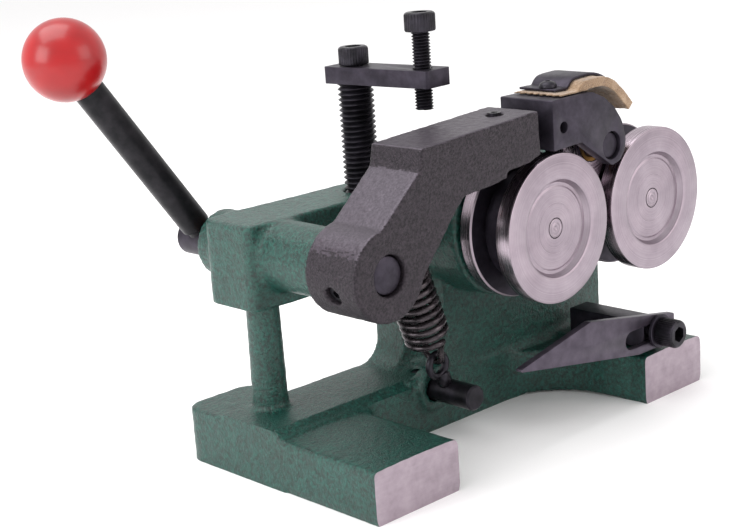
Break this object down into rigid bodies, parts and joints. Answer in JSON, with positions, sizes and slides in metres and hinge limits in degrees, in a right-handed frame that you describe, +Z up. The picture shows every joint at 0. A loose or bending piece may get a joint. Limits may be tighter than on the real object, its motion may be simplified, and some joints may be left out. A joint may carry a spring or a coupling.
{
  "type": "roller grinding fixture",
  "caption": "Bench fixture with disc rollers and a spring-loaded, lever-lifted press arm whose nip wheel turns a round punch blank.",
  "frame": {"origin": "middle of the base's footprint, on its flat underside", "axes": "+X to the right along the base, from the lever end to the pointer end; +Y to the back, away from the bare machined foot faces; +Z up"},
  "size_m": [0.216, 0.1219, 0.1515],
  "materials": {
    "green_enamel": "satin enamel over rough sand-cast iron, bare ground front faces",
    "black_iron": "grainy blackened cast iron",
    "black_oxide": "satin black oxide",
    "turned_steel": "fine turned",
    "bearing_steel": "ground",
    "spring_steel": "dark oiled wire",
    "bronze": "machined bronze",
    "red_plastic": "glossy moulded",
    "black_plastic": "matte moulded",
    "belt_rubber": "matte",
    "leather": "undyed tan, rough cut edges"
  },
  "bodies": {
    "frame": {"frame_casting": "green_enamel", "shaft_bush_front": "bronze", "shaft_bush_rear": "bronze", "left_bearing_front": "bearing_steel", "left_bearing_rear": "bearing_steel", "right_bearing_front": "bearing_steel", "right_bearing_rear": "bearing_steel", "drive_belt": "belt_rubber", "tension_spring": "spring_steel", "anchor_eye_screw": "black_oxide", "spring_anchor_pin": "black_oxide", "stop_post": "black_oxide", "post_cap_screw": "black_oxide", "pointer_support": "black_oxide", "pointer_screw": "black_oxide"},
    "arm": {"press_arm": "black_iron", "arm_shaft": "black_oxide", "hub_set_screw": "black_oxide", "bracket_set_screw": "black_oxide", "spring_peg": "black_oxide", "lever_rod": "black_oxide", "lever_ball": "red_plastic"},
    "nip_fork": {"fork_bracket": "black_oxide", "nip_axle": "black_oxide", "leather_flap": "leather", "flap_clamp_plate": "black_oxide", "flap_screw": "black_oxide"},
    "nip_wheel": {"nip_roller": "turned_steel", "nip_bush": "bronze"},
    "left_roll": {"left_front_disc": "turned_steel", "left_rear_disc": "turned_steel", "left_disc_spacer": "black_oxide", "left_spindle": "turned_steel", "left_thrust_washer": "bronze", "left_snap_ring": "spring_steel", "left_pulley": "black_oxide", "crank_arm": "black_oxide", "crank_pin": "black_oxide", "crank_nut": "black_oxide"},
    "right_roll": {"right_front_disc": "turned_steel", "right_rear_disc": "turned_steel", "right_disc_spacer": "black_oxide", "right_spindle": "turned_steel", "right_thrust_washer": "bronze", "right_snap_ring": "spring_steel", "right_pulley": "black_oxide"},
    "knob": {"crank_knob": "black_plastic"},
    "swing_stop": {"stop_bar": "black_oxide"},
    "stop_screw": {"stop_adjusting_screw": "black_oxide"},
    "pointer_pivot": {"pointer_washer": "black_oxide"},
    "pointer": {"pointer_plate": "black_oxide"}
  },
  "joints": [
    {"name": "arm_lift", "type": "hinge", "parent": "frame", "child": "arm", "pos_m": [-0.0662, 0, 0.073], "axis": [0, -1, 0], "range_deg": [0, 40], "stiffness_Nm_per_rad": 0.8, "springref_deg": -28.65, "deforming": ["tension_spring"]},
    {"name": "nip_reach", "type": "slide", "parent": "arm", "child": "nip_fork", "axis": [1, 0, 0], "range_m": [-0.0015, 0.002]},
    {"name": "nip_spin", "type": "hinge", "parent": "nip_fork", "child": "nip_wheel", "pos_m": [0.0385, -0.03, 0.094], "axis": [0, -1, 0], "continuous": true},
    {"name": "left_roll_spin", "type": "hinge", "parent": "frame", "child": "left_roll", "pos_m": [0.0124, 0, 0.0706], "axis": [0, -1, 0], "continuous": true},
    {"name": "right_roll_spin", "type": "hinge", "parent": "frame", "child": "right_roll", "pos_m": [0.0646, 0, 0.0706], "axis": [0, -1, 0], "continuous": true},
    {"name": "crank_knob_spin", "type": "hinge", "parent": "left_roll", "child": "knob", "pos_m": [0.0124, 0.06, 0.0506], "axis": [0, -1, 0], "continuous": true},
    {"name": "stop_swing", "type": "hinge", "parent": "frame", "child": "swing_stop", "pos_m": [-0.021, 0.0165, 0.122], "axis": [0, 0, 1], "range_deg": [-100, 60]},
    {"name": "stop_screw_travel", "type": "slide", "parent": "swing_stop", "child": "stop_screw", "axis": [0, 0, 1], "range_m": [-0.0115, 0.006]},
    {"name": "pointer_tilt", "type": "hinge", "parent": "frame", "child": "pointer_pivot", "pos_m": [0.058, -0.0465, 0.0249], "axis": [0, 1, 0], "range_deg": [-9, 4]},
    {"name": "pointer_slide", "type": "slide", "parent": "pointer_pivot", "child": "pointer", "axis": [1, 0, 0], "range_m": [-0.004, 0.006]}
  ],
  "couplings": [
    {"joint": "right_roll_spin", "follows": "left_roll_spin", "ratio": 1}
  ]
}
